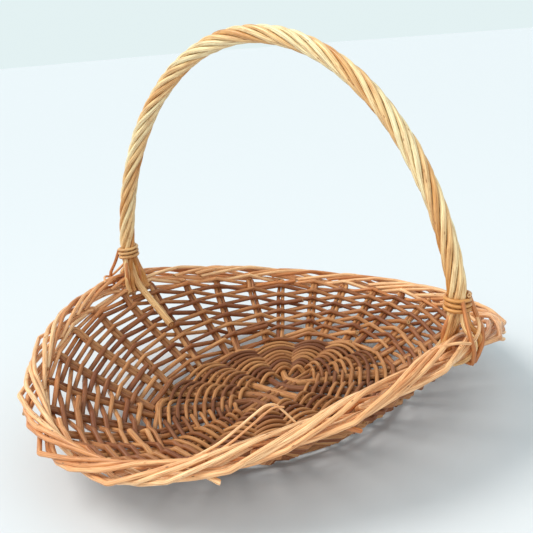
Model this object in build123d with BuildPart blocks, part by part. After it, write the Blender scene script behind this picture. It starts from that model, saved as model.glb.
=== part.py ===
"""An oval willow log basket: a pierced stick base, 32 side stakes, woven side rows, a rolled border
and a roped hoop handle that stands across the middle.

Frame: millimetres, +Z up, +X along the basket's length, origin on the floor at the middle of the base.
Every willow rod is a separate solid: a round section swept along straight runs and tangent arcs.
"""

import os
from math import acos, asin, ceil, cos, hypot, pi, sin, tan

from build123d import *

# Base oval, measured at the bend where the stakes turn up.
BASE_HALF_LENGTH = 165.0
BASE_HALF_WIDTH = 130.0

# Rim, measured to the middle of the rolled border. The sides stand higher than the ends.
RIM_HALF_LENGTH = 298.0
RIM_HALF_WIDTH = 253.0
RIM_HEIGHT_SIDE = 128.0
RIM_HEIGHT_END = 62.0
RIM_DIP_LEFT = 2.0  # how the border dips away from the handle, on -X: 2 is a slow, round dip
RIM_DIP_RIGHT = 1.15  # and on +X: 1 is a straight slope from the handle down
BELLY = 3.0  # how far the wall bows out of a straight line, half way up

# Hoop handle, measured to its centre line.
HANDLE_TOP = 442.0
HANDLE_LEAN_IN = 4.0  # how far inside the border's centre the hoop would meet it
FOOT_STEP_IN = 11.5  # how much further in its feet step, to pass inside the border
FOOT_STEP_HEIGHT = 60.0  # height above the rim at which the step begins

# Rod thicknesses.
CROSS_STICK_DIAMETER = 9.0
LONG_STICK_DIAMETER = 5.5
STAKE_DIAMETER = 6.5
BASE_WEAVER_DIAMETER = 4.5
WEAVER_DIAMETER = 5.0
WALE_DIAMETER = 5.5
BORDER_ROD_DIAMETER = 5.5
BOW_DIAMETER = 8.0
STRAND_DIAMETER = 5.8
TIE_DIAMETER = 4.5

# Counts.
STICK_ENDS = 16
CROSS_STICKS = 5
LONG_STICKS = 3
BASE_ROWS = 10
UPSETT_RODS = 3
SIDE_ROWS = 12
TOP_WALE_RODS = 3
BORDER_RODS_IN_SECTION = 8  # each border rod runs past this many stakes
STRANDS = 7
BINDING_TURNS = 3

CLEARANCE = 0.4  # between rods that lie against each other
STRAND_GAP = 0.2  # least space between two strands of the rope
BASE_ROW_START = 44.0  # from the slath's middle line to the first base row
BASE_ROW_MARGIN = 11.0  # from the last base row to the bend where the stakes turn up
TAIL_LENGTH = 37.0  # how far each stake is pushed into the base
ROPE_PITCH = 165.0  # length of handle in which a strand goes round once
BINDING_HEIGHT = 21.0  # from the border's top to the first turn of binding
BOW_STEP = 16.0  # length of each short arc that the bow's curve is made of
LEG_DEPTH = 0.62  # share of the wall that the bow's leg reaches down
TIE_SPREAD = 17.0  # from the bow to each tie beside it
ROD_BEND = 9.0  # inner bend radius of a rod round a stake
SMOOTH_BEND = 90.0  # largest bend radius along a long curve

STAKES = 2 * STICK_ENDS
SLATH_HALF_LENGTH = BASE_HALF_LENGTH - BASE_HALF_WIDTH
LONG_STICK_SPACING = LONG_STICK_DIAMETER + 2.5
SLATH_HALF_WIDTH = LONG_STICK_SPACING + LONG_STICK_DIAMETER
STICK_RADIUS = CROSS_STICK_DIAMETER / 2
BASE_PASS = STICK_RADIUS + CLEARANCE + BASE_WEAVER_DIAMETER / 2
BASE_PLANE = BASE_PASS * hypot(1, BASE_PASS / (BASE_ROW_START * 2 * pi / STICK_ENDS)) + BASE_WEAVER_DIAMETER / 2
TAIL_OFFSET = STICK_RADIUS + CLEARANCE + STAKE_DIAMETER / 2
BORDER_TWIST_RADIUS = (BORDER_ROD_DIAMETER + CLEARANCE) / (2 * sin(pi / BORDER_RODS_IN_SECTION))
BORDER_RADIUS = BORDER_TWIST_RADIUS + BORDER_ROD_DIAMETER / 2
STRAND_SLANT = hypot(1, pi * (BOW_DIAMETER + STRAND_DIAMETER) / ROPE_PITCH)
# A strand must clear the bow inside it, and the strands that lie slanting on each side of it.
STRAND_TWIST_RADIUS = max(
    BOW_DIAMETER / 2 + CLEARANCE + STRAND_DIAMETER / 2,
    (STRAND_DIAMETER + STRAND_GAP) * STRAND_SLANT / (2 * sin(pi / STRANDS)),
)
ROPE_RADIUS = STRAND_TWIST_RADIUS + STRAND_DIAMETER / 2
HANDLE_HALF_SPAN = RIM_HALF_WIDTH - HANDLE_LEAN_IN

os.makedirs("parts", exist_ok=True)


def share_point(start, end, share):
    """The point that lies the given share of the way from start to end."""
    return start + (end - start) * share


def half_turn(before, corner, after):
    """Half of the angle that a path turns through at a corner."""
    arriving, leaving = (corner - before).normalized(), (after - corner).normalized()
    return acos(max(-1.0, min(1.0, arriving.dot(leaving)))) / 2


def bend_radii(points, largest):
    """One radius for each corner: the largest that its two runs leave room for."""
    radii = []
    for before, corner, after in zip(points, points[1:], points[2:]):
        run = min((corner - before).length, (after - corner).length)
        radii.append(min(largest, 0.45 * run / tan(max(half_turn(before, corner, after), 1e-3))))
    return radii


def corners_through(points, largest):
    """Moves each corner outwards, so that its arc passes through the point and not inside it."""
    moved = [points[0]]
    for before, corner, after, radius in zip(points, points[1:], points[2:], bend_radii(points, largest)):
        outwards = (corner - before).normalized() - (after - corner).normalized()
        cut = radius * (1 / cos(half_turn(before, corner, after)) - 1)
        moved.append(corner + outwards.normalized() * cut if outwards.length > 1e-6 else corner)
    return [*moved, points[-1]]


def bent_only(points):
    """The points without any that lie in line with their neighbours."""
    kept = [points[0]]
    for corner, after in zip(points[1:], points[2:]):
        if half_turn(kept[-1], corner, after) > 2e-3:
            kept.append(corner)
    return [*kept, points[-1]]


def rod(points, diameter, largest_bend=ROD_BEND):
    """One willow rod along the points."""
    corners = bent_only(corners_through(bent_only(points), largest_bend))
    with BuildPart() as piece:
        with BuildLine() as line:
            if len(corners) == 2:
                Line(*corners)
            else:
                FilletPolyline(*corners, radius=bend_radii(corners, largest_bend))
        path = line.wire()
        with BuildSketch(Plane(origin=path @ 0, z_dir=path % 0)):
            Circle(diameter / 2)
        sweep(path=path)
    return piece.part


def save(name, *solids):
    """Writes one node, which may be a group of separate rods."""
    node = solids[0] if len(solids) == 1 else Compound(children=list(solids))
    node.label = name
    export_step(node, f"parts/{name}.step")


# ---- Base -------------------------------------------------------------------------------------


def stick_angle(number):
    return 2 * pi * number / STICK_ENDS


def base_point(angle, reach, sideways=0.0, height=0.0):
    """A point of the base at a stick's angle, reach out from the slath, sideways from the stick."""
    outwards = Vector(cos(angle), sin(angle), 0)
    across = Vector(-sin(angle), cos(angle), 0)
    start = Vector(SLATH_HALF_LENGTH * cos(angle), 0, BASE_PLANE + height)
    return start + outwards * reach + across * sideways


def cross_stick(angle):
    """A thick stick across the base, slit in the middle for the long sticks."""
    edge = base_point(angle, SLATH_HALF_WIDTH / sin(angle))
    tip = base_point(angle, BASE_HALF_WIDTH)
    path = [Vector(p.X, -p.Y, p.Z) for p in (tip, edge)] + [edge, tip]
    stick = rod(path, CROSS_STICK_DIAMETER)
    slit_half = (LONG_STICKS - 1) / 2 * LONG_STICK_SPACING + LONG_STICK_DIAMETER / 2 + CLEARANCE
    with BuildPart() as slit_stick:
        add(stick)
        with Locations((edge.X, 0, BASE_PLANE)):
            Box(
                2 * CROSS_STICK_DIAMETER,
                2 * slit_half,
                LONG_STICK_DIAMETER + 2 * CLEARANCE,
                mode=Mode.SUBTRACT,
            )
    return slit_stick.part


def long_stick(side):
    """A stick along the base, through the slits. The outer ones fan out at both ends."""
    angle = side * stick_angle(1)
    tip = base_point(angle, BASE_HALF_WIDTH)
    if side == 0:
        return rod([Vector(-tip.X, 0, tip.Z), tip], LONG_STICK_DIAMETER)
    edge = base_point(angle, LONG_STICK_SPACING / abs(sin(angle)))
    path = [Vector(-p.X, p.Y, p.Z) for p in (tip, edge)] + [edge, tip]
    return rod(path, LONG_STICK_DIAMETER)


def base_row(number):
    """One round of weaving, over one stick and under the next."""
    pitch = (BASE_HALF_WIDTH - BASE_ROW_MARGIN - BASE_ROW_START) / (BASE_ROWS - 1)
    reach = BASE_ROW_START + pitch * number
    slant = 2 * BASE_PASS / (reach * stick_angle(1))
    meets_tails = reach > BASE_HALF_WIDTH - TAIL_LENGTH - pitch
    points = []
    for stick in range(STICK_ENDS):
        height = BASE_PASS * hypot(1, slant / 2) * (1 if (stick + number) % 2 else -1)
        for sideways in (-TAIL_OFFSET, TAIL_OFFSET) if meets_tails else (0,):
            points.append(base_point(stick_angle(stick), reach, sideways, height))
    return rod(opened(points, STICK_ENDS * number // BASE_ROWS), BASE_WEAVER_DIAMETER, 4.0)


def opened(points, first=0, gap=0.06):
    """A closed round of points, cut open half way between two of them."""
    turned = points[first:] + points[:first]
    middle = share_point(turned[-1], turned[0], 0.5)
    return [
        share_point(middle, turned[0], gap),
        *turned,
        share_point(middle, turned[-1], gap),
    ]


# ---- Side stakes and the wall that they carry ---------------------------------------------------


def stake_angle(number):
    return 2 * pi * (number + 0.5) / STAKES


def rim_point(angle):
    """A point of the border's centre line."""
    dip = RIM_DIP_RIGHT if cos(angle) > 0 else RIM_DIP_LEFT
    fall = (RIM_HEIGHT_SIDE - RIM_HEIGHT_END) * abs(cos(angle)) ** dip
    return Vector(RIM_HALF_LENGTH * cos(angle), RIM_HALF_WIDTH * sin(angle), RIM_HEIGHT_SIDE - fall)


def rim_along(angle):
    """Unit vector along the border, anticlockwise from above."""
    return (rim_point(angle + 0.01) - rim_point(angle - 0.01)).normalized()


def rim_outwards(angle):
    """Unit vector level and square to the border, away from the basket."""
    return rim_along(angle).cross(Vector(0, 0, 1)).normalized()


def stake_foot(number):
    """Where a stake turns up: beside the end of its base stick."""
    side = 1 if number % 2 == 0 else -1
    stick = (number + 1) // 2 if side < 0 else number // 2
    return base_point(stick_angle(stick), BASE_HALF_WIDTH, side * TAIL_OFFSET)


def stake_top(number):
    """Where a stake runs in under the border."""
    rim = rim_point(stake_angle(number))
    rise = (rim - stake_foot(number)).normalized()
    return rim - rise * (BORDER_RADIUS + CLEARANCE)


def wall_outwards(number):
    """Unit vector square to the wall at a stake, pointing out and down."""
    rise = (stake_top(number) - stake_foot(number)).normalized()
    return rim_along(stake_angle(number)).cross(rise).normalized()


def bowed(start, end, outwards, share):
    """A point of a wall line that bows outwards by BELLY half way up, on three straight runs."""
    knots = (0.0, 0.35, 0.7, 1.0)
    for low, high in zip(knots, knots[1:]):
        if share <= high or high == 1.0:
            ends = [share_point(start, end, k) + outwards * (4 * BELLY * k * (1 - k)) for k in (low, high)]
            return share_point(*ends, (share - low) / (high - low))


def wall_point(number, share):
    """A point of a stake's centre line, from its foot at 0 to its top at 1."""
    return bowed(stake_foot(number), stake_top(number), wall_outwards(number), share)


def stake(number):
    """A side stake: its tail lies in the base beside a stick, then it turns up the wall."""
    side = 1 if number % 2 == 0 else -1
    stick = (number + 1) // 2 if side < 0 else number // 2
    tail = base_point(stick_angle(stick), BASE_HALF_WIDTH - TAIL_LENGTH, side * TAIL_OFFSET)
    rise = [wall_point(number, share) for share in (0.0, 0.35, 0.7, 1.0)]
    return rod([tail, *rise], STAKE_DIAMETER, 14.0)


def woven_row(share, passes, diameter, first):
    """A round of weaving up the wall. passes(stake) is 1 outside a stake and -1 inside it."""
    offset = (STAKE_DIAMETER + diameter) / 2 + CLEARANCE
    points = []
    for number in range(STAKES):
        # A rod that slants past a stake is nearer to it than one that crosses squarely.
        ahead = (wall_point((number + 1) % STAKES, share) - wall_point(number, share)).length
        behind = (wall_point(number, share) - wall_point((number - 1) % STAKES, share)).length
        slant = 2 * offset / min(ahead, behind)
        away = offset * hypot(1, 0.65 * slant)
        points.append(wall_point(number, share) + wall_outwards(number) * (passes(number) * away))
    return rod(opened(points, first), diameter)


def upsett_rod(number):
    """One of the rods that set the stakes up: outside two pairs of stakes and inside the next."""

    def passes(stake_number):
        pair = ((stake_number + 1) // 2) % STICK_ENDS
        return -1 if (pair + number) % 3 == 0 else 1

    return woven_row(0.03 + 0.045 * number, passes, WALE_DIAMETER, 10 * number + 1)


def side_row(number):
    """One round of plain weaving, outside one stake and inside the next."""
    share = 0.175 + (0.80 - 0.175) * number / (SIDE_ROWS - 1)
    first = (5 * number) % STAKES
    return woven_row(share, lambda stake_number: 1 if (stake_number + number) % 2 else -1, WEAVER_DIAMETER, first)


def top_wale_rod(number):
    """One of the rods under the border: outside two stakes and inside the next."""
    share = 0.86 + 0.05 * number
    first = (11 * number + 3) % STAKES
    return woven_row(share, lambda stake_number: -1 if (stake_number + number) % 3 == 0 else 1, WALE_DIAMETER, first)


# ---- Border -----------------------------------------------------------------------------------


def border_rod(number):
    """A stake's end, turned down at the rim and rolled once round the border."""
    steps = 3 * BORDER_RODS_IN_SECTION
    points = []
    for step in range(steps + 1):
        share = (step + 0.12 * (steps - 2 * step) / steps) / steps
        angle = stake_angle(number) + share * 2 * pi * BORDER_RODS_IN_SECTION / STAKES
        turn = 2 * pi * share - pi / 2
        away = rim_outwards(angle) * cos(turn) + Vector(0, 0, 1) * sin(turn)
        points.append(rim_point(angle) + away * BORDER_TWIST_RADIUS)
    return rod(points, BORDER_ROD_DIAMETER, SMOOTH_BEND)


# ---- Handle -----------------------------------------------------------------------------------


def hoop_point(turn):
    """A point of the hoop's centre line. turn is 0 at the foot on +Y and pi at the other foot."""
    above = (HANDLE_TOP - RIM_HEIGHT_SIDE) * sin(turn)
    step = FOOT_STEP_IN * max(0.0, 1 - above / FOOT_STEP_HEIGHT) ** 2
    side = 1 if cos(turn) > 0 else -1
    return Vector(0, HANDLE_HALF_SPAN * cos(turn) - side * step, RIM_HEIGHT_SIDE + above)


def hoop_frames(spacing):
    """Points along the hoop at an even spacing, each with its outward unit vector."""
    fine = [hoop_point(pi * n / 720) for n in range(721)]
    lengths = [0.0]
    for a, b in zip(fine, fine[1:]):
        lengths.append(lengths[-1] + (b - a).length)
    count = ceil(lengths[-1] / spacing)
    frames, at = [], 0
    for n in range(count + 1):
        wanted = lengths[-1] * n / count
        while lengths[at + 1] < wanted and at < len(fine) - 2:
            at += 1
        share = (wanted - lengths[at]) / (lengths[at + 1] - lengths[at])
        along = (fine[at + 1] - fine[at]).normalized()
        frames.append((share_point(fine[at], fine[at + 1], share), Vector(1, 0, 0).cross(along), wanted))
    return frames


def leg_line():
    """The bow's leg below the rim on the +Y side, which lies against the inside of the wall."""
    foot = base_point(pi / 2, BASE_HALF_WIDTH)
    rim = rim_point(pi / 2)
    rise = (rim - foot).normalized()
    inwards = Vector(0, -rise.Z, rise.Y)
    lie = (STAKE_DIAMETER + WEAVER_DIAMETER + BOW_DIAMETER) / 2 + 2 * CLEARANCE
    return [share_point(foot, rim, 1 - share) + inwards * lie for share in (LEG_DEPTH, LEG_DEPTH / 2)]


def mirrored(points):
    return [Vector(p.X, -p.Y, p.Z) for p in points]


def handle_bow():
    """The bow inside the rope. Its two legs run down inside the wall."""
    leg = leg_line()
    hoop = [point for point, _, _ in hoop_frames(BOW_STEP)]
    return rod([*leg, *hoop, *reversed(mirrored(leg))], BOW_DIAMETER, SMOOTH_BEND)


def rope_turn(length, strand):
    return 2 * pi * (length / ROPE_PITCH + strand / STRANDS)


def handle_strand(number):
    """One of the rods twisted round the bow, from one side of the border to the other."""
    clear = BORDER_RADIUS + CLEARANCE + 1.0
    frames = [f for f in hoop_frames(ROPE_PITCH / 12) if f[0].Z > RIM_HEIGHT_SIDE + clear]
    points = []
    for point, outwards, length in frames:
        turn = rope_turn(length, number)
        points.append(point + (outwards * cos(turn) + Vector(1, 0, 0) * sin(turn)) * STRAND_TWIST_RADIUS)
    return rod(points, STRAND_DIAMETER, SMOOTH_BEND)


def handle_binding(side):
    """Turns of thin rod that hold the strands together above the border."""
    radius = ROPE_RADIUS + CLEARANCE + TIE_DIAMETER / 2
    steps = 10
    low = RIM_HEIGHT_SIDE + BORDER_RADIUS + BINDING_HEIGHT
    pitch = TIE_DIAMETER + CLEARANCE
    points = []
    for step in range(steps * BINDING_TURNS + 1):
        turn = 2 * pi * step / steps
        rise = low + pitch * step / steps
        lean = hoop_point(asin((rise - RIM_HEIGHT_SIDE) / (HANDLE_TOP - RIM_HEIGHT_SIDE))).Y
        points.append(Vector(radius * cos(turn), side * (lean + radius * sin(turn)), rise))
    return rod(points, TIE_DIAMETER, SMOOTH_BEND)


def handle_tie(side, beside):
    """A loop round the border beside the hoop's foot."""
    angle = side * pi / 2
    rim = rim_point(angle) + Vector(beside, 0, 0)
    near = min(range(361), key=lambda n: abs(rim_point(side * pi * n / 360).X - rim.X))
    rim = rim_point(side * pi * near / 360)
    radius = BORDER_RADIUS + CLEARANCE + TIE_DIAMETER / 2
    steps = 12
    points = []
    for step in range(steps):
        turn = 2 * pi * (step + 0.5) / steps - pi / 2
        points.append(rim + Vector(0, side * cos(turn), sin(turn)) * radius)
    return rod(points, TIE_DIAMETER, SMOOTH_BEND)


# ---- Assembly ---------------------------------------------------------------------------------

for number in range(CROSS_STICKS):
    stick_number = STICK_ENDS // 4 + number - CROSS_STICKS // 2
    save(f"base_cross_stick_{number + 1}", cross_stick(stick_angle(stick_number)))
for number in range(LONG_STICKS):
    save(f"base_long_stick_{number + 1}", long_stick(number - LONG_STICKS // 2))
for number in range(0, BASE_ROWS, 2):
    save(f"base_pairing_{number // 2 + 1}", base_row(number), base_row(number + 1))

for number in range(STICK_ENDS):
    pair = (2 * number, (2 * number - 1) % STAKES)
    save(f"stake_pair_{number + 1:02d}", *[stake(n) for n in pair])
save("upsett_wale", *[upsett_rod(n) for n in range(UPSETT_RODS)])
for number in range(SIDE_ROWS):
    save(f"side_row_{number + 1:02d}", side_row(number))
save("top_wale", *[top_wale_rod(n) for n in range(TOP_WALE_RODS)])

QUARTERS = ("back_right", "back_left", "front_left", "front_right")
for quarter, name in enumerate(QUARTERS):
    per_quarter = STAKES // len(QUARTERS)
    save(f"border_{name}", *[border_rod(quarter * per_quarter + n) for n in range(per_quarter)])

save("handle_bow", handle_bow())
for number in range(STRANDS):
    save(f"handle_strand_{number + 1}", handle_strand(number))
for name, side in (("back", 1), ("front", -1)):
    save(f"handle_binding_{name}", handle_binding(side))
    save(f"handle_ties_{name}", *[handle_tie(side, beside) for beside in (-TIE_SPREAD, TIE_SPREAD)])
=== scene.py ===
# %% [markdown]
# # A willow log basket
# This scene dresses a basket whose rods were first drawn in CAD. The CAD model gives the sizes and
# the places; here every rod gets the taper, the small bends, the bud scars and the colour of real
# willow. Read it from top to bottom: each cell makes one kind of piece, in the order a maker
# works.

import random

import bpy
import numpy as np
from mathutils import Matrix, Vector


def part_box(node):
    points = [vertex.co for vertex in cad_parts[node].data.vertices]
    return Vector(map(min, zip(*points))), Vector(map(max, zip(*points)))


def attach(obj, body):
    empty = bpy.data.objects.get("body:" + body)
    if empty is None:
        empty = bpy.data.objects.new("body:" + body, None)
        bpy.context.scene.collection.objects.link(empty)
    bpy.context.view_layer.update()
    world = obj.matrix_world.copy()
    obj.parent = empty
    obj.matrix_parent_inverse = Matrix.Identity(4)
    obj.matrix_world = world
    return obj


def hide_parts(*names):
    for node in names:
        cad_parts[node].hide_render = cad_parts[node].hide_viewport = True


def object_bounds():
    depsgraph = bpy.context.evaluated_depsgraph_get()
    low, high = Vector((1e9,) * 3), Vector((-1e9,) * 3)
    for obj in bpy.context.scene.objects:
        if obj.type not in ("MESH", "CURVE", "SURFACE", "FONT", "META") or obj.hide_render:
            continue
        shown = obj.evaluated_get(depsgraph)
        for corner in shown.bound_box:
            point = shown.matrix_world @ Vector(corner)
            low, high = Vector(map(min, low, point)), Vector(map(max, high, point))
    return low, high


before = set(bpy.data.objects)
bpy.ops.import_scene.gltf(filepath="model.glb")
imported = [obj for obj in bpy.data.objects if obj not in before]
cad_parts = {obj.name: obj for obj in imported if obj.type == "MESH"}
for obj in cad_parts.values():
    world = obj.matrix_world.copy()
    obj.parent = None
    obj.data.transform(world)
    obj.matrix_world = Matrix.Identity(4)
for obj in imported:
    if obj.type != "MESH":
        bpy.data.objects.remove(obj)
CAD_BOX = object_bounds()
MM = 0.001
print("pieces in the frame:", len(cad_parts))

# %% [markdown]
# ## Sizes
# A dressed model must stay where the plain one is, so no size is typed in twice. The places of the
# base, the rim and the hoop are all read from the boxes of the CAD pieces. Only the counts, the
# half thickness of the border and the lean of the hoop are given, because no box shows them.

# %% Read the sizes
STAKES = 32
STICK_ENDS = 16
BORDER_R = 10.5 * MM
HOOP_INSIDE = 4 * MM  # from the middle of the border in to the hoop


def highest(node):
    return np.array(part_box(node)[1])


def thickness(node, axis=2):
    low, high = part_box(node)
    return high[axis] - low[axis]


BASE_X = highest("base_long_stick_2")[0]
BASE_Y = highest("base_cross_stick_3")[1]
BASE_Z = highest("base_cross_stick_3")[2] - thickness("base_cross_stick_3") / 2
LONG_STICK = thickness("base_long_stick_2")
CROSS_STICK = thickness("base_cross_stick_3")
RIM_X = CAD_BOX[1][0] - BORDER_R
RIM_Y = highest("border_back_right")[1] - BORDER_R
RIM_Z_SIDE = highest("border_back_right")[2] - BORDER_R
RIM_Z_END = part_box("border_back_left")[0][2] + BORDER_R
BOW_R = thickness("handle_bow", 0) / 2
HOOP_TOP = highest("handle_bow")[2] - BOW_R
HOOP_Y = RIM_Y - HOOP_INSIDE
print("rim", RIM_X, RIM_Y, RIM_Z_SIDE, RIM_Z_END, "hoop", HOOP_Y, HOOP_TOP)

# %% [markdown]
# ## How a rod is made
# A willow rod is a long cone: thick at the butt where it was cut, thin at the tip. It never bends
# in a perfect arc, it swells a little at every bud, and each end shows the knife's cut. A curve
# object with a bevel could draw it, but its surface would be too even and it couldn't carry the
# grain. So each rod is a mesh tube round a line of points. The line comes first. Willow can be
# slack or kinked at each of its points, so every bend is a curve that replaces a corner.

# %% Bend a line
chance = random.Random(7)
POINTS_IN_A_BEND = 9
ROUNDS_OF_FITTING = 4


def mix(a, b, share):
    return a + (b - a) * share


def rounded(corners, bends):
    """Replaces each corner by a curve. A bend of 1 is as slack as can be and 0.2 is a kink."""
    line = [corners[0]]
    for i in range(1, len(corners) - 1):
        a, b, c = corners[i - 1 : i + 2]
        start, end = mix(b, a, bends[i] / 2), mix(b, c, bends[i] / 2)
        for t in np.linspace(0, 1, POINTS_IN_A_BEND):
            line.append(mix(mix(start, b, t), mix(b, end, t), t))
    return np.array([*line, corners[-1]])


def through(points, bends):
    """Moves the corners out until the curve goes through the points."""
    points = np.array(points)
    corners = points.copy()
    for _ in range(ROUNDS_OF_FITTING):
        slack = np.array(bends[1:-1])[:, None] / 8
        middle = corners[1:-1] + (corners[:-2] + corners[2:] - 2 * corners[1:-1]) * slack
        corners[1:-1] += points[1:-1] - middle
    return corners


# %% [markdown]
# A tube needs rings at even steps along the line, and two directions square to the line at each
# step. The directions are carried on from one step to the next. Worked out afresh at each step
# they could spin round in a bend, and wring the tube like a cloth.

# %% Walk along the line
def evenly(line, step):
    """The same line with its points a step apart, and how far along the rod each one is."""
    lengths = np.concatenate([[0], np.cumsum(np.linalg.norm(np.diff(line, axis=0), axis=1))])
    count = max(3, int(lengths[-1] / step))
    along = np.linspace(0, lengths[-1], count)
    return np.stack([np.interp(along, lengths, line[:, k]) for k in range(3)], axis=1), along


def ways(line):
    """The way along the line at each point, and two ways square to it."""
    tangents = np.gradient(line, axis=0)
    tangents /= np.linalg.norm(tangents, axis=1)[:, None]
    first = np.cross(tangents[0], [0.31, 0.52, 0.79])  # any start that is not along the line
    across = []
    for tangent in tangents:
        first = first - tangent * np.dot(first, tangent)
        first = first / np.linalg.norm(first)
        across.append(first)
    across = np.array(across)
    return tangents, across, np.cross(tangents, across)


# %% [markdown]
# No rod is round. It is a little oval, it waves in thickness, and each bud leaves a low bump. A
# noise could shape this too, but buds keep an order: one every 30 to 60 mm, each of them turned
# on from the last round the rod. So the bumps are placed one by one.

# %% Swell at the buds
WAVE = 13 * MM
BUD = 2.2 * MM
BUD_TURN = 2.4


def swelling(along, around):
    """How many times its plain thickness the rod is, at each point of each ring."""
    bud, side = chance.uniform(5, 40) * MM, chance.uniform(0, 6.28)
    swell = np.ones((len(along), len(around)))
    swell += 0.02 * np.sin(along / WAVE + chance.uniform(0, 6))[:, None]
    swell += 0.025 * np.cos(2 * around + chance.uniform(0, 6))[None, :]
    while bud < along[-1]:
        near = np.exp(-(((along - bud) / BUD) ** 2))[:, None]
        swell += near * (0.04 + 0.13 * np.clip(np.cos(around - side), 0, 1) ** 4)[None, :]
        bud += chance.uniform(30, 60) * MM
        side += BUD_TURN
    return swell


# %% [markdown]
# Now the rod itself. Each point also remembers where it lay when the rod was straight. The grain
# is painted in that straight space, so it follows every bend and has no seam. Each rod has its
# own tone as well, which picks its colour between pale and deep.

# %% Make one rod
ROD_STEP = 2.5 * MM


def rod(points, thick, thin, bends=1.0, sides=12, cuts=(0.5, 0.9), darker=None, exact=True):
    """One rod through the points, from its butt to its tip, as raw mesh data."""
    points = [np.array(p, dtype=float) for p in points]
    bends = [bends] * len(points) if isinstance(bends, float) else bends
    corners = through(points, bends) if exact else np.array(points)
    line, along = evenly(rounded(corners, bends), ROD_STEP)
    tangents, across, other = ways(line)
    around = np.linspace(0, 2 * np.pi, sides, endpoint=False)
    radius = mix(thick, thin, along / along[-1]) / 2
    reach = radius[:, None] * swelling(along, around)
    flat = np.stack([np.cos(around), np.sin(around)])
    verts = line[:, None] + reach[..., None] * (
        across[:, None] * flat[0][None, :, None] + other[:, None] * flat[1][None, :, None]
    )
    # The knife goes through at a slant, so the end ring leans along the rod.
    verts[0] -= tangents[0] * (cuts[0] * reach[0] * flat[0])[:, None]
    verts[-1] += tangents[-1] * (cuts[1] * reach[-1] * flat[0])[:, None]
    # Each rod starts somewhere else in the straight space, so no two have the same grain.
    depth = np.repeat(along[:, None], sides, 1) + chance.uniform(0, 50)
    straight = np.stack([reach * flat[0], reach * flat[1], depth], axis=-1)
    tone = np.full(len(line), chance.random())
    if darker:
        tone = tone + darker(line)
    return verts, straight, tone


# %% [markdown]
# An object for each rod would be slow to work with, so the rods of one named piece become one
# mesh. Each tube is closed by two flat caps. The caps have points of their own, so that the cut
# keeps a sharp edge while the side of the rod is smooth.

# %% Join rods into one mesh
def joined(rods):
    """The points of all the rods, their straight places and tones, and the side and cut faces."""
    verts, straight, tones, faces, cut_faces, first = [], [], [], [], [], 0
    for rings, flat, tone in rods:
        count, sides = rings.shape[:2]
        ids = np.arange(count * sides).reshape(count, sides) + first
        ahead = np.roll(ids, -1, axis=1)
        faces.append(np.stack([ids[:-1], ahead[:-1], ahead[1:], ids[1:]], -1).reshape(-1, 4))
        verts.append(rings.reshape(-1, 3))
        straight.append(flat.reshape(-1, 3))
        first += count * sides
        for ring, spread, turn in ((rings[0], flat[0], -1), (rings[-1], flat[-1], 1)):
            cut_faces.append([first + k for k in range(sides)][::turn])
            verts.append(ring)
            straight.append(spread)
            first += sides
        tones += [np.repeat(tone, sides), np.repeat(tone[[0, -1]], sides)]
    return *[np.concatenate(part) for part in (verts, straight, tones, faces)], cut_faces


def remember(mesh, name, kind, field, values):
    """Stores a value at every point of the mesh, for the finish to read."""
    mesh.attributes.new(name, kind, "POINT").data.foreach_set(field, values)


def bundle(name, rods, nodes, finish):
    """One object from a list of rods. It stands for the CAD pieces in nodes."""
    verts, straight, tones, faces, cut_faces = joined(rods)
    mesh = bpy.data.meshes.new(name)
    mesh.from_pydata(verts.tolist(), [], faces.tolist() + cut_faces)
    remember(mesh, "straight", "FLOAT_VECTOR", "vector", straight.ravel())
    remember(mesh, "tone", "FLOAT", "value", tones)
    mesh.polygons.foreach_set("use_smooth", [True] * len(faces) + [False] * len(cut_faces))
    mesh.materials.append(finish)
    mesh.materials.append(FINISHES["cut end"])
    mesh.polygons.foreach_set("material_index", [0] * len(faces) + [1] * len(cut_faces))
    mesh.update()
    piece = bpy.data.objects.new(name, mesh)
    bpy.context.scene.collection.objects.link(piece)
    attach(piece, "root")
    if nodes:
        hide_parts(*nodes)
    print(name, "rods:", len(rods), "corners:", len(mesh.vertices))
    return piece


# %% [markdown]
# ## Buff willow
# The rods are buff willow: boiled with the bark on and then peeled, so tannin from the bark stains
# the wood from honey to orange and brown. The surface is bare wood, satin rather than glossy. One
# image can't follow three hundred bent rods, so the finish is built from noise in each rod's own
# straight space. Every layer of it is a few nodes, so one function adds any node with its values
# and links. Colours are sRGB hex, as on a paint chart, and sockets take linear light.

# %% Colours and nodes
def linear(hex_colour):
    """An sRGB hex colour as linear light."""
    parts = [int(hex_colour[i : i + 2], 16) / 255 for i in (0, 2, 4)]
    return (*[p / 12.92 if p <= 0.04045 else ((p + 0.055) / 1.055) ** 2.4 for p in parts], 1.0)


def add(tree, kind, links=(), inputs=(), stops=(), **settings):
    """Adds a node. links joins sockets to outputs, inputs are values and stops fill a ramp."""
    node = tree.nodes.new(kind)
    for key, value in settings.items():
        setattr(node, key, value)
    for key, value in dict(inputs).items():
        node.inputs[key].default_value = value
    for key, output in dict(links).items():
        tree.links.new(output, node.inputs[key])
    if stops:
        points = node.color_ramp.elements
        while len(points) < len(stops):
            points.new(0.5)
        for point, (place, colour) in zip(points, stops):
            point.position = place
            point.color = colour
    return node


def start_finish(name):
    """A material with no nodes yet."""
    finish = bpy.data.materials.new(name)
    finish.use_nodes = True
    finish.node_tree.nodes.clear()
    return finish, finish.node_tree


# %% [markdown]
# All patterns are stretched along the rod, as everything in wood is. A scale counts repeats in a
# metre: across the rod twice, and then along it. So 1400 gives marks 0.7 mm wide.

# %% Stretched patterns
PATCHES = (60, 60, 16)  # 62 mm long, and wider than a rod
STREAKS = (1400, 1400, 40)  # 0.7 mm wide and 25 mm long
SCARS = (170, 170, 60)  # cells 6 mm wide and 17 mm long, each with a scar in its middle


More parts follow.
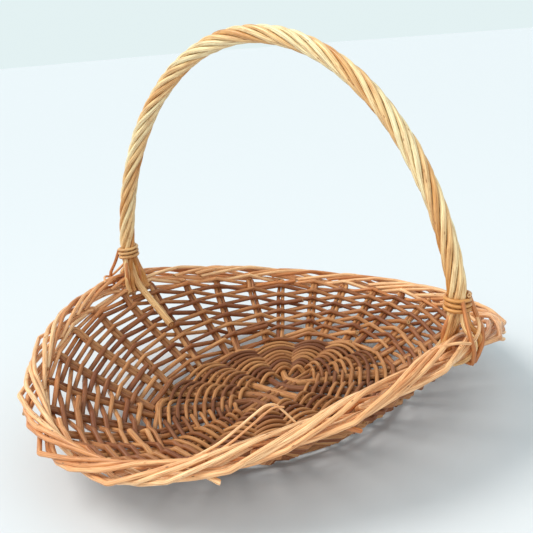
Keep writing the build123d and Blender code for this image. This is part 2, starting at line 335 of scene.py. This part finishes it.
def stretched(tree, kind, place, scale, **values):
    """A pattern in the straight space of the rod."""
    spread = add(tree, "ShaderNodeMapping", {"Vector": place}, {"Scale": scale})
    return add(tree, kind, {"Vector": spread.outputs["Vector"]}, {"Scale": 1.0, **values})


# %% [markdown]
# First the stain. Bark gives each rod a different colour, and the colour drifts slowly along it.
# The rod's tone plus a soft noise picks a place between pale, usual and deep.

# %% The stain
def stained(tree, place, pale, usual, deep):
    """The colour of the wood before any grain."""
    tone = add(tree, "ShaderNodeAttribute", attribute_name="tone")
    patches = stretched(tree, "ShaderNodeTexNoise", place, PATCHES, Detail=3.0)
    # Noise runs from 0 to 1 round 0.5, so this moves the tone by up to a quarter either way.
    wander = add(
        tree,
        "ShaderNodeMath",
        {0: patches.outputs["Fac"]},
        {1: 0.55, 2: -0.275},
        operation="MULTIPLY_ADD",
    )
    shade = add(
        tree,
        "ShaderNodeMath",
        {0: tone.outputs["Fac"], 1: wander.outputs["Value"]},
        operation="ADD",
        use_clamp=True,
    )
    stops = ((0.0, linear(pale)), (0.5, linear(usual)), (1.0, linear(deep)))
    body = add(tree, "ShaderNodeValToRGB", {"Fac": shade.outputs["Value"]}, stops=stops)
    return body.outputs["Color"]


# %% [markdown]
# Then the grain. Peeled wood shows its fibres as hair-thin, darker streaks, which are multiplied
# into the stain. Last come the marks: where a bud was rubbed off or the knife slipped there is a
# dark fleck 1 to 2 mm wide. A cell pattern has one middle in each cell, and the fleck lies there.

# %% Grain and scars
def grained(tree, colour, streaks):
    """The colour, darker in the streaks."""
    stops = ((0.33, linear("A87850")), (0.6, linear("FFFFFF")))
    fibre = add(tree, "ShaderNodeValToRGB", {"Fac": streaks}, stops=stops)
    blend = add(
        tree,
        "ShaderNodeMix",
        {6: colour, 7: fibre.outputs["Color"]},
        {0: 0.9},
        data_type="RGBA",
        blend_type="MULTIPLY",
    )
    return blend.outputs[2]


def scarred(tree, place, colour, scar):
    """The colour, with dark flecks on it."""
    cells = stretched(tree, "ShaderNodeTexVoronoi", place, SCARS)
    stops = ((0.05, (0.8, 0.8, 0.8, 1)), (0.14, (0, 0, 0, 1)))
    mask = add(tree, "ShaderNodeValToRGB", {"Fac": cells.outputs["Distance"]}, stops=stops)
    blend = add(
        tree,
        "ShaderNodeMix",
        {0: mask.outputs["Color"], 6: colour},
        {7: linear(scar)},
        data_type="RGBA",
    )
    return blend.outputs[2]


# %% [markdown]
# The surface shader takes these layers. Peeled wood is smooth between the streaks and dull in
# them, so the streaks drive the roughness and a shallow bump too: one pattern for colour, shine
# and relief keeps them in step, as they are on real wood.

# %% Make the willow finish
GRAIN_DEPTH = 0.25 * MM
WOOD_IOR = 1.46


def willow(name, pale, usual, deep, scar, roughness):
    """Peeled willow. pale, usual and deep are the range of tones between rods."""
    finish, tree = start_finish(name)
    place = add(tree, "ShaderNodeAttribute", attribute_name="straight").outputs["Vector"]
    noise = stretched(tree, "ShaderNodeTexNoise", place, STREAKS, Detail=4.0, Roughness=0.65)
    streaks = noise.outputs["Fac"]
    colour = grained(tree, stained(tree, place, pale, usual, deep), streaks)
    # Streaks below 0.3 are the dullest and above 0.7 the smoothest.
    sheen = add(
        tree,
        "ShaderNodeMapRange",
        {0: streaks},
        {1: 0.3, 2: 0.7, 3: roughness + 0.12, 4: roughness - 0.08},
    )
    bumps = add(
        tree, "ShaderNodeBump", {"Height": streaks}, {"Strength": 0.35, "Distance": GRAIN_DEPTH}
    )
    layers = {
        "Base Color": scarred(tree, place, colour, scar),
        "Roughness": sheen.outputs[0],
        "Normal": bumps.outputs["Normal"],
    }
    wood = add(tree, "ShaderNodeBsdfPrincipled", layers, {"IOR": WOOD_IOR})
    add(tree, "ShaderNodeOutputMaterial", {"Surface": wood.outputs["BSDF"]})
    return finish


# %% [markdown]
# Across the cut a rod shows a soft brown pith, pale wood round it and a browner skin. The
# distance from the middle of the rod picks the colour, and the straight space gives that
# distance for rods of any bend. End grain is matt.

# %% Make the cut end
RINGS = 300.0  # in a metre, so the skin of a 6 mm rod is at 0.9


def cut_willow():
    """The cut across a rod."""
    finish, tree = start_finish("willow_knife_cut")
    place = add(tree, "ShaderNodeAttribute", attribute_name="straight")
    split = add(tree, "ShaderNodeSeparateXYZ", {0: place.outputs["Vector"]})
    flat = add(tree, "ShaderNodeCombineXYZ", {0: split.outputs[0], 1: split.outputs[1]})
    middle = add(tree, "ShaderNodeVectorMath", {0: flat.outputs[0]}, operation="LENGTH")
    scaled = add(
        tree, "ShaderNodeMath", {0: middle.outputs["Value"]}, {1: RINGS}, operation="MULTIPLY"
    )
    stops = ((0.2, linear("8A5A33")), (0.45, linear("D9AE7C")), (0.95, linear("A8713F")))
    rings = add(tree, "ShaderNodeValToRGB", {"Fac": scaled.outputs[0]}, stops=stops)
    wood = add(
        tree,
        "ShaderNodeBsdfPrincipled",
        {"Base Color": rings.outputs["Color"]},
        {"Roughness": 0.75},
    )
    add(tree, "ShaderNodeOutputMaterial", {"Surface": wood.outputs["BSDF"]})
    return finish


# %% [markdown]
# A maker sorts the rods. Old, brown ones go into the base and the wall, cleaner ones into the
# border, and the palest into the handle, where hands polish them. The base is made browner still
# as painted shade, and the border paler as painted light on its top. So one function makes willow
# in four ranges of tone, each smoother than the last.

# %% Sort the willow
FINISHES = {
    # Knife-cut end grain: pale, matt discs that make the rim look hand-made.
    "cut end": cut_willow(),
    # Boiled willow scraped by logs: dull brown, worn and darker still as painted shade,
    # so the inside looks deep.
    "base": willow("buff_willow_base_worn_and_painted_shade", "C68E58", "A56D3E", "7C4826", "42230F", 0.6),
    # Boiled willow, unsorted: every row has another warm brown.
    "wall": willow("buff_willow_wall", "D69E68", "B67A49", "8A4F2A", "42230F", 0.5),
    # Boiled willow, sorted: orange-buff and paler as painted light on its top, with soft
    # highlights where it turns over the rim.
    "border": willow("buff_willow_border_painted_light", "FFD4A2", "F7BD86", "CE864E", "5A2F16", 0.4),
    # Fresh-peeled willow: pale honey and satin, with a bright line along each strand.
    "handle": willow("white_willow_handle", "FFF2C4", "FFDFA6", "DC9F5A", "8C5426", 0.36),
}
print("finishes:", ", ".join(FINISHES))

# %% [markdown]
# ## The base
# A round or oval base starts as a cross: thick sticks slit in the middle, and thinner sticks
# pushed through the slits. The sticks fan out like the spokes of a wheel and rods are woven over
# and under them. From here on a place is given as a maker would: at this stick, so far out, so
# high.

# %% Places on the base
SLATH_X = BASE_X - BASE_Y


def base_place(angle, reach, side=0.0, up=0.0):
    outwards = np.array([np.cos(angle), np.sin(angle), 0])
    beside = np.array([-np.sin(angle), np.cos(angle), 0])
    return np.array([SLATH_X * np.cos(angle), 0, BASE_Z + up]) + outwards * reach + beside * side


def stick_angle(number):
    return 2 * np.pi * number / STICK_ENDS


print("length of the cross in mm:", round(2 * SLATH_X / MM))

# %% [markdown]
# A stick runs straight through the cross and bends at its edge to fan out, so it has four points:
# two tips and two edges. One function makes both kinds. The middle long stick is straight.

# %% Base sticks
CROSS_EDGE = LONG_STICK * 2.4
LONG_STICK_EDGE = LONG_STICK + 2.5 * MM
FLIP_X, FLIP_Y = np.array([-1, 1, 1]), np.array([1, -1, 1])


def base_stick(angle, flip, edge_width, thick, sides):
    """A stick with a tip at an angle, and the other tip across the cross from it."""
    tip = base_place(angle, BASE_Y)
    points = [tip * flip, tip]
    if edge_width:
        edge = base_place(angle, edge_width / abs(np.sin(angle)))
        points = [tip * flip, edge * flip, edge, tip]
    return rod(points, thick, thick * 0.9, 0.25, sides)


for number in range(5):
    stick = base_stick(stick_angle(number + 2), FLIP_Y, CROSS_EDGE, CROSS_STICK, 16)
    name = f"base_cross_stick_{number + 1}"
    bundle("stick_" + str(number + 1), [stick], [name], FINISHES["base"])
for number in range(3):
    edge_width = 0 if number == 1 else LONG_STICK_EDGE
    stick = base_stick(stick_angle(number - 1), FLIP_X, edge_width, LONG_STICK, 14)
    name = f"base_long_stick_{number + 1}"
    bundle("long_stick_" + str(number + 1), [stick], [name], FINISHES["base"])

# %% [markdown]
# The base rows lie tight against each other, and neighbours cross between the sticks. A rod bends
# round a stick and lies straight between sticks, so a row is a wave with one crest for each stick.

# %% Base weaving
BASE_ROD = 5.2 * MM
BASE_ROWS = 18
BASE_PIECES = 5
BASE_FIRST, BASE_LAST = 34 * MM, BASE_Y - 3 * MM
CROWDED = 50 * MM  # up to here the sticks are so close that the rods lie a little higher


def base_round(row):
    """One row, from a stick of its own to a little past it, so its ends overlap."""
    reach = mix(BASE_FIRST, BASE_LAST, row / (BASE_ROWS - 1))
    lift = (CROSS_STICK + BASE_ROD) / 2 + 0.2 * MM
    points = []
    for number in range(-1, STICK_ENDS + 1):
        over = 1 if (number + row) % 2 else -1
        drift = chance.uniform(-0.6, 0.6) * MM
        up = over * lift * (1.02 if reach < CROWDED else 1.0)
        points.append(base_place(stick_angle(number), reach + drift, 0, up))
    turn = (row * 5) % STICK_ENDS
    ring = points[1:-1]
    ring = ring[turn:] + ring[: turn + 2]
    return rod(ring, BASE_ROD * 1.05, BASE_ROD * 0.85, 0.9, 10)


for part in range(BASE_PIECES):
    rows = [base_round(row) for row in range(BASE_ROWS) if row * BASE_PIECES // BASE_ROWS == part]
    name = f"base_pairing_{part + 1}"
    bundle("base_rows_" + str(part + 1), rows, [name], FINISHES["base"])

# %% [markdown]
# ## Stakes, wall and border
# A stake is pushed in on each side of every stick end and bent straight up, and a second rod is
# pushed in beside it, which is why the stakes look double. The rim they make stands high where the
# handle is and dips towards both ends. It dips sooner on the right, as if the maker's hand had
# pulled it down there: a willow rim is never quite even.

# %% Places on the rim
RIM_DIP_LEFT, RIM_DIP_RIGHT = 2.0, 1.15
# Between the near foot of the handle and the right end it sags a little more.
SAG, SAG_ANGLE = 9 * MM, np.radians(-50)


def unit(v):
    return v / np.linalg.norm(v)


def rim_place(turn):
    """The middle of the border. turn counts stakes, and needn't be whole."""
    angle = 2 * np.pi * (turn + 0.5) / STAKES
    dip = RIM_DIP_RIGHT if np.cos(angle) > 0 else RIM_DIP_LEFT
    drop = (RIM_Z_SIDE - RIM_Z_END) * abs(np.cos(angle)) ** dip
    drop += SAG * max(0, np.cos(angle - SAG_ANGLE)) ** 6
    return np.array([RIM_X * np.cos(angle), RIM_Y * np.sin(angle), RIM_Z_SIDE - drop])


def rim_ways(turn):
    """Along the border, and level and square to it."""
    along = unit(rim_place(turn + 0.05) - rim_place(turn - 0.05))
    return along, unit(np.cross(along, [0, 0, 1]))


print("rim at its ends in mm:", [round(rim_place(turn)[2] / MM) for turn in (-0.5, 15.5)])

# %% [markdown]
# The wall leans out, so "out" at a stake is square to the wall and not level. A place on the wall
# is a stake, a share of the height, and how far out and beside. Then a weaver's step in front of
# a stake or behind it is one number.

# %% Places on the wall
STAKE_OFFSET = 7.8 * MM  # from the middle of a base stick to the stake beside it
BELLY = 3 * MM  # how far the wall bows out at half its height


def stick_beside(number):
    """The base stick that a stake is pushed in beside, and on which side."""
    side = 1 if number % 2 == 0 else -1
    return number // 2 if side > 0 else (number + 1) // 2, side


def stake_foot(number):
    stick, side = stick_beside(number % STAKES)
    return base_place(stick_angle(stick), BASE_Y, side * STAKE_OFFSET)


def wall_ways(number):
    """Up the wall, along it and out of it at a stake."""
    rise = unit(rim_place(number) - stake_foot(number))
    along = rim_ways(number)[0]
    out = unit(np.cross(along, rise))
    return rise, unit(np.cross(rise, out)), out


def wall_place(number, height, out=0.0, beside=0.0):
    """height is 0 at the base and 1 at the middle of the border."""
    rise, along, outwards = wall_ways(number)
    middle = mix(stake_foot(number), rim_place(number), height)
    bulge = BELLY * 4 * height * (1 - height)
    return middle + outwards * (bulge + out) + along * beside


print("stake foot to rim in mm:", round(np.linalg.norm(rim_place(8) - stake_foot(8)) / MM))

# %% [markdown]
# Above the wall a rod is bent down along the border: in front of the next stakes, round the
# outside with a sharp kink, over the top and inside. The kink is where the maker's thumb cracks
# it over a stake, and it gives the rim a many-sided outline. All rods follow one path, and small
# shifts set them apart. Every other first rod has its kink standing proud of the rest.

# %% Border path
KINK = 1.5
# Stakes along, out and up from the middle of the border in mm, and how slack the bend is there.
BORDER_PATH = (
    (0.25, -2.5, -8.5, 0.9),
    (0.9, 6.5, -7.5, 0.4),
    (KINK, 12.5, -3.0, 0.12),
    (2.3, 7.5, 4.5, 0.7),
    (3.0, -1.0, 8.0, 0.4),
    (3.7, -8.5, 4.0, 0.6),
    (4.5, -10.0, -4.0, 0.8),
)
PROUD = 4.5
PAIR_GAP = 0.43  # stakes along the border between the two rods of a pair


def border_place(turn, out, up):
    along, level = rim_ways(turn)
    return rim_place(turn) + level * out * MM + np.array([0, 0, up * MM])


def border_points(number, second):
    """The part of a rod's path that lies in the border."""
    shift = chance.uniform(-0.09, 0.09) + (PAIR_GAP if second else 0)
    proud = PROUD if not second and number % 2 else chance.uniform(-2.5, 0.5)
    points = []
    for turn, out, up, _ in BORDER_PATH:
        out += chance.uniform(-0.9, 0.9) + (proud if turn == KINK else 0)
        up += chance.uniform(-0.9, 0.9)
        points.append(border_place(number + turn + shift, out, up))
    points[-1] = mix(points[-2], points[-1], chance.uniform(0.5, 1.1))
    return points


# %% [markdown]
# Below the border, the first rod of a pair comes out of the base and turns up sharply. The second
# one is pushed into the weave later, so it starts at the foot of the wall.

# %% Stake path
STAKE_ROD = 6.0 * MM
STAKE_TAIL = 40 * MM
HALF_A_PAIR = 3.2 * MM


def stake_points(number, second):
    """The part of a rod's path below the border, and how slack each bend is."""
    beside = HALF_A_PAIR if second else -HALF_A_PAIR
    upright = [wall_place(number, h, 0, beside) for h in (0.25, 0.5, 0.75, 0.9)]
    bends = [1.0, 1.0, 1.0, 0.9]
    if second:
        return [wall_place(number, 0.03, 0, beside), *upright], [1.0, *bends]
    stick, side = stick_beside(number)
    tail = base_place(stick_angle(stick), BASE_Y - STAKE_TAIL, side * STAKE_OFFSET)
    return [tail, stake_foot(number), *upright], [0.3, 0.3, *bends]


# %% [markdown]
# The CAD model has stakes and border as separate pieces, but on a basket they are the same rods.
# So each rod is made whole and then cut at its highest point in the wall, and its two parts meet
# exactly. Every other second rod is cut off under the border, or the rim would be too thick.

# %% Stakes and border rods
def cut_rod(whole, place):
    """Cuts a finished rod in two at a place."""
    at = np.linalg.norm(whole[0].mean(axis=1) - place, axis=1).argmin()
    return [part[: at + 1] for part in whole], [part[at:] for part in whole]


stakes = {number: [] for number in range(STAKES)}
border_rods = {number: [] for number in range(STAKES)}
for number in range(STAKES):
    for second in (False, True):
        lower, bends = stake_points(number, second)
        upper = border_points(number, second)
        bends = bends + [step[3] for step in BORDER_PATH]
        thick = STAKE_ROD * chance.uniform(0.94, 1.08)
        whole = rod(lower + upper, thick, thick * chance.uniform(0.78, 0.9), bends, 14)
        below, above = cut_rod(whole, lower[-1])
        stakes[number].append(below)
        if not second or number % 2:
            border_rods[number].append(above)

QUARTERS = ("back_right", "back_left", "front_left", "front_right")
IN_A_QUARTER = STAKES // len(QUARTERS)
for quarter, name in enumerate(QUARTERS):
    rods = sum([border_rods[quarter * IN_A_QUARTER + n] for n in range(IN_A_QUARTER)], [])
    bundle(f"border_rods_{name}", rods, [f"border_{name}"], FINISHES["border"])
for stick in range(STICK_ENDS):
    name = f"stake_pair_{stick + 1:02d}"
    rods = stakes[2 * stick] + stakes[(2 * stick - 1) % STAKES]
    bundle(name + "_rods", rods, [name], FINISHES["wall"])

# %% [markdown]
# ## Weaving the wall
# Each row steps in front of one stake and behind the next, and the row above does the opposite.
# Rows stand apart, so the wall lets air through. A new rod starts inside the wall and an old one
# stops outside it, and both ends are left a little long.

# %% Wall rows
SIDE_ROD = 6.2 * MM
SIDE_ROWS = 12
FIRST_ROW, LAST_ROW = 0.17, 0.80
PAST_A_PAIR = (-3.6 * MM, 3.2 * MM)  # a rod lies straight where it passes a pair of stakes
END_LEFT_LONG = 9 * MM


def wall_round(height, outside, thick, first, climb=0.012):
    """One round of the wall. outside(stake) says whether it passes outside that stake."""
    points = []
    step_out = (STAKE_ROD + thick) / 2 - 0.1 * MM
    for count in range(STAKES + 2):
        number = (first + count) % STAKES
        level = height + climb * (count / STAKES - 0.5) + chance.uniform(-0.004, 0.004)
        out = step_out if outside(number) else -step_out
        for beside in PAST_A_PAIR:
            points.append(wall_place(number, level, out, beside))
    start = wall_place(first - 0.3, height, -END_LEFT_LONG)
    stop = wall_place(first + 1.4, height + climb / 2, END_LEFT_LONG)
    return rod([start, *points, stop], thick * 1.06, thick * 0.86, 0.85, 10, cuts=(0.3, 0.6))


for row in range(SIDE_ROWS):
    height = mix(FIRST_ROW, LAST_ROW, row / (SIDE_ROWS - 1))
    name = f"side_row_{row + 1:02d}"
    thick = SIDE_ROD * chance.uniform(0.92, 1.06)
    ring = wall_round(height, lambda n: (n + row) % 2 == 1, thick, (row * 5) % STAKES)
    bundle(f"wall_row_{row + 1:02d}", [ring], [name], FINISHES["wall"])

# %% [markdown]
# At the foot and under the border three rods are worked together, each in front of two stakes and
# behind one, and each a stake on from the last. This is a wale, and it locks the stakes in place.
# The one at the foot is worked round whole stick ends, before the stakes are opened out.

# %% Wales
FOOT_ROD, TOP_ROD = 6.0 * MM, 5.6 * MM


def foot_wale(k):
    """The k-th rod at the foot."""

    def outside(n):
        return ((n + 1) // 2 % STICK_ENDS + k) % 3 != 0

    return wall_round(0.02 + 0.042 * k, outside, FOOT_ROD, 10 * k)


def top_wale(k):
    """The k-th rod under the border."""
    return wall_round(0.85 + 0.035 * k, lambda n: (n + k) % 3 != 0, TOP_ROD, 11 * k + 3)


foot = [foot_wale(k) for k in range(3)]
bundle("wale_at_the_foot", foot, ["upsett_wale"], FINISHES["wall"])
top = [top_wale(k) for k in range(3)]
bundle("wale_under_the_border", top, ["top_wale"], FINISHES["border"])

# %% [markdown]
# ## The handle
# A stout bow carries the load and seven rods are twisted round it like the strands of a rope. The
# strands touch each other, so the size of the rope follows from the thickness of one strand. The
# hoop is an ellipse, so its points are spaced by length, or the twist would be uneven. Low down,
# its feet step in, to pass inside the border.

# %% Hoop
STRANDS = 7
STRAND = 6.1 * MM
ROPE_R = STRAND / (2 * np.sin(np.pi / STRANDS)) * 1.06
TWIST = 160 * MM  # the length of one turn of a strand
STEP_IN, STEP_HEIGHT = 11.5 * MM, 60 * MM
HOOP_POINTS = 721
HALF_HOOP = HOOP_POINTS // 2 + 1

turns = np.linspace(0, np.pi, HOOP_POINTS)
rise = (HOOP_TOP - RIM_Z_SIDE) * np.sin(turns)
step_in = STEP_IN * np.clip(1 - rise / STEP_HEIGHT, 0, 1) ** 2
hoop_y = HOOP_Y * np.cos(turns) - np.sign(np.cos(turns)) * step_in
hoop_z = RIM_Z_SIDE + rise
hoop_line, hoop_along = evenly(np.stack([0 * turns, hoop_y, hoop_z], axis=1), 6 * MM)
hoop_tangent = np.gradient(hoop_line, axis=0)
hoop_tangent /= np.linalg.norm(hoop_tangent, axis=1)[:, None]
hoop_out = np.cross([1.0, 0, 0], hoop_tangent)
print("length of the hoop in mm:", round(hoop_along[-1] / MM), "rope in mm:", 2 * ROPE_R / MM)

# %% [markdown]
# The bow is one stout rod, and its legs run down inside the wall, where the rows hold them. The
# handle is browner towards its feet and down inside the wall: a rod can take an extra tone that
# depends on where it is, and the handle's rods share this one.

# %% Bow
BOW_THICK, BOW_THIN = 9.4 * MM, 8.2 * MM
DEEPER_TONE_HEIGHT = 130 * MM


def near_foot(line):
    """How much deeper the tone is at each point of a line."""
    return 0.75 * np.clip(1 - (line[:, 2] - RIM_Z_SIDE) / DEEPER_TONE_HEIGHT, 0, 1) - 0.12


leg_out = -(STAKE_ROD + SIDE_ROD) / 2 - BOW_R + 1 * MM
leg = [wall_place(7.5, h, leg_out) for h in (0.45, 0.7)]
bow_points = [*leg, *hoop_line[::8], *[p * FLIP_Y for p in leg[::-1]]]
bow = rod(bow_points, BOW_THICK, BOW_THIN, 0.9, 14, darker=near_foot)
bundle("bow_rod", [bow], ["handle_bow"], FINISHES["handle"])

# %% [markdown]
# A strand winds round the bow and leaves the rope below the binding. The outer strands go over
# the outside of the border and are tucked under it, and the others go down inside the wall. Each
# way down is a short route, and one function turns a route into points at either foot.

# %% Strands
START = 6  # points of the hoop at each foot that no strand goes through
# Shares of how far the strand has spread across the foot, and mm out and up from the border.
TUCKED_UNDER = ((0.9, 3, 17), (1.1, 13, 6), (1.2, 14, -7), (1.3, 5, -18), (1.3, -6, -24))
DOWN_INSIDE = ((0.8, -13, 14), (1.0, -15, 4), (1.1, -16, -8), (1.2, -20, -16))


def rope_place(index, turn, radius):
    """A point on the rope's surface: turn runs round it."""
    side = hoop_out[index] * np.cos(turn) + np.array([1.0, 0, 0]) * np.sin(turn)
    return hoop_line[index] + side * radius


def at_foot(side, route, width=MM):
    """Points at a foot: how many widths across it, and mm out and up. The back has side 1."""
    return [
        np.array([a * width, side * (RIM_Y + out * MM), RIM_Z_SIDE + up * MM])
        for a, out, up in route
    ]


def strand_end(last, side):
    """How a strand goes on from its last place on the rope."""
    spread = last[0] * 1.9 + chance.uniform(-3, 3) * MM
    outer = abs(last[1]) > HOOP_Y + 3 * MM
    return at_foot(side, TUCKED_UNDER if outer else DOWN_INSIDE, spread)


for strand in range(STRANDS):
    points = []
    for index in range(START, len(hoop_line) - START, 2):
        turn = 2 * np.pi * (hoop_along[index] / TWIST + strand / STRANDS)
        wobble = 1 + 0.03 * np.sin(index * 0.11 + strand * 2)
        points.append(rope_place(index, turn, ROPE_R * wobble))
    points = strand_end(points[0], 1)[::-1] + points
    points = points + strand_end(points[-1], -1)
    strand_rod = rod(points, STRAND, STRAND * 0.92, 0.95, 14, darker=near_foot)
    name = f"handle_strand_{strand + 1}"
    bundle(f"strand_{strand + 1}", [strand_rod], [name], FINISHES["handle"])

# %% [markdown]
# Each foot is bound with a thin rod, wound three times round the strands. It is a spiral that
# climbs a little more than its own thickness in a turn, and it follows the lean of the hoop.

# %% Bindings
BINDER = 4.6 * MM
BINDING_HEIGHT = 31 * MM
BINDING_POINTS = 40
POINTS_IN_A_TURN = 12


def binding_rod(side):
    points = []
    around = ROPE_R + (STRAND + BINDER) / 2
    for step in range(BINDING_POINTS):
        turn = 2 * np.pi * step / POINTS_IN_A_TURN
        height = RIM_Z_SIDE + BINDING_HEIGHT + BINDER * 1.15 * step / POINTS_IN_A_TURN
        lean = np.interp(height, hoop_z[:HALF_HOOP], hoop_y[:HALF_HOOP])
        points.append([around * np.cos(turn), side * (lean + around * np.sin(turn)), height])
    return rod(points, BINDER, BINDER * 0.85, 1.0, 12, darker=near_foot, exact=False)


# %% [markdown]
# Two more rods are lashed down from the binding over the outside of the border. They meet in a
# sharp point under it and go up again inside, so that the hoop can't pull out. One thin rod
# crosses the front of the foot, from the binding to the border beside it.

# %% Lashings
# Each route is in mm along the border, out from its middle and up from it.
DOWN_LEFT = ((-8, 2, 44), (-13, 8, 26), (-18, 15, 10), (-15, 17, -4), (-8, 12, -21), (-6, 3, -21))
DOWN_RIGHT = ((8, 2, 44), (10, 8, 26), (9, 15, 10), (4, 17, -4), (-3, 12, -21), (-3, 3, -21))
LASHINGS = (
    (*DOWN_LEFT, (-12, -15, -10), (-15, -16, 10), (-9, -11, 28)),
    (*DOWN_RIGHT, (4, -15, -10), (8, -16, 10), (7, -11, 28)),
)
LASHING_BENDS = [0.8, 0.8, 0.8, 0.8, 0.25, 0.5, 0.8, 0.8, 0.8]
CROSSING = ((8, 2, 40), (11, 7, 26), (2, 15, 14), (-17, 16, 6), (-34, 9, 10), (-46, -6, 7))

for side, name in ((1, "back"), (-1, "front")):
    binding, nodes = binding_rod(side), [f"handle_binding_{name}"]
    bundle(f"binding_{name}", [binding], nodes, FINISHES["handle"])
    lashings = [
        rod(at_foot(side, route), BINDER, BINDER * 0.9, LASHING_BENDS, 12, darker=near_foot)
        for route in LASHINGS
    ]
    lashings.append(rod(at_foot(side, CROSSING), BINDER * 0.9, BINDER * 0.6, 0.8, 12))
    nodes = [f"handle_ties_{name}"]
    bundle(f"lashing_{name}", lashings, nodes, FINISHES["border"])

# %% [markdown]
# No hand-made basket is perfectly trimmed. A thin end has sprung up from the border, and a few
# stubs of rods stick out under it. They are what stops the rim looking like a moulding.

# %% Stray ends
# Stakes along the border, and mm out and up from its middle.
SPRUNG = (
    (17.9, -3, 6),
    (18.4, -7, 13),
    (18.9, -11, 24),
    (19.25, -13, 31),
    (19.45, -13, 28),
    (19.65, -11, 14),
    (19.8, -8, 2),
)
STUBS = (6.2, 12.7, 18.4, 20.7, 25.3, 26.2, 27.3, 28.4, 29.3, 30.2, 31.0, 31.6)

stray = [rod([border_place(*p) for p in SPRUNG], 3.2 * MM, 2.2 * MM, 0.7, 8)]
thinner = [border_place(turn + 0.12, out + 3, up - 3) for turn, out, up in SPRUNG[:5]]
stray.append(rod(thinner, 3.0 * MM, 1.6 * MM, 0.9, 8))
for turn in STUBS:
    inner = border_place(turn - 0.25, 4, -9)
    outer = border_place(turn, chance.uniform(12, 15), -15 + chance.uniform(-2, 2))
    stray.append(rod([inner, mix(inner, outer, 0.5), outer], 5.2 * MM, 4.8 * MM, 0.9, 10))
bundle("stray_ends", stray, [], FINISHES["border"])

# %% [markdown]
# ## Floor, light and camera
# The basket stands on matt white paper, which has no highlight and so shows only shadows. The
# floor is 80 m wide, so that its far edge is only a faint line against a sky of nearly the same
# tone, high up behind the basket.

# %% Floor
FLOOR_SIZE = 80
bpy.ops.mesh.primitive_plane_add(size=FLOOR_SIZE)
floor = bpy.context.object
floor.name = "floor"
paper = bpy.data.materials.new("matt_white_paper")
paper.use_nodes = True
paper_inputs = paper.node_tree.nodes["Principled BSDF"].inputs
paper_inputs["Base Color"].default_value = linear("D2D6DC")
paper_inputs["Roughness"].default_value = 0.8
floor.data.materials.append(paper)
print("floor in m:", FLOOR_SIZE)

# %% [markdown]
# A bright room has one main light, the window, and pale walls that fill in the rest. The window is
# a sun lamp behind on the left. A sun lamp lights the whole floor evenly, and as it is seen 32
# degrees wide it throws a soft shadow forward to the right. A weak warm lamp in front keeps the
# near border from going dull, and an even sky stands for the walls.

# %% Light
def lamp(name, kind, way, energy, colour, place=(0, 0, 0), **settings):
    """Adds a lamp that shines along a direction."""
    data = bpy.data.lights.new(name, kind)
    data.energy = energy
    data.color = linear(colour)[:3]
    for key, value in settings.items():
        setattr(data, key, value)
    light = bpy.data.objects.new(name, data)
    light.location = place
    light.rotation_euler = Vector(way).to_track_quat("-Z", "Y").to_euler()
    bpy.context.scene.collection.objects.link(light)
    print("lamp:", name, "energy:", energy)


lamp("window_light", "SUN", (0.55, -0.62, -1.05), 2.1, "FFF8EE", angle=np.radians(32))
lamp("front", "AREA", (1.9, 0.9, -1.15), 11, "FFF4E4", (-1.9, -0.9, 1.3), size=1.2)

sky = bpy.data.worlds.new("even_sky")
sky.use_nodes = True
sky_inputs = sky.node_tree.nodes["Background"].inputs
sky_inputs["Color"].default_value = linear("E8F6F7")
sky_inputs["Strength"].default_value = 0.96
bpy.context.scene.world = sky
# The plain view transform shows colours as they are, without a film curve that greys white.
bpy.context.scene.view_settings.view_transform = "Standard"

# %% [markdown]
# The camera looks down into the basket from the left of the front, a metre away, and is held with
# a slight tilt. The lens is 52 mm, close to how the eye sees, so the oval rim isn't stretched.
# Blender's camera looks along its own -Z, so its matrix is built from right, up and backwards.

# %% Camera
EYE, AIM = Vector((-0.688, -0.568, 0.434)), Vector((0.084, 0.0685, 0.143))
ROLL = np.radians(4.6)

forward = (AIM - EYE).normalized()
right = forward.cross(Vector((0, 0, 1))).normalized()
up = right.cross(forward)
tilted_right = right * np.cos(ROLL) - up * np.sin(ROLL)
tilted_up = up * np.cos(ROLL) + right * np.sin(ROLL)
lens = bpy.data.cameras.new("camera")
lens.lens = 52.46
lens.sensor_width = 36
camera = bpy.data.objects.new("camera", lens)
turned = Matrix((tilted_right, tilted_up, -forward)).transposed().to_4x4()
camera.matrix_world = Matrix.Translation(EYE) @ turned
bpy.context.scene.collection.objects.link(camera)
bpy.context.scene.camera = camera
print("from the eye to the aim in mm:", round((AIM - EYE).length / MM))
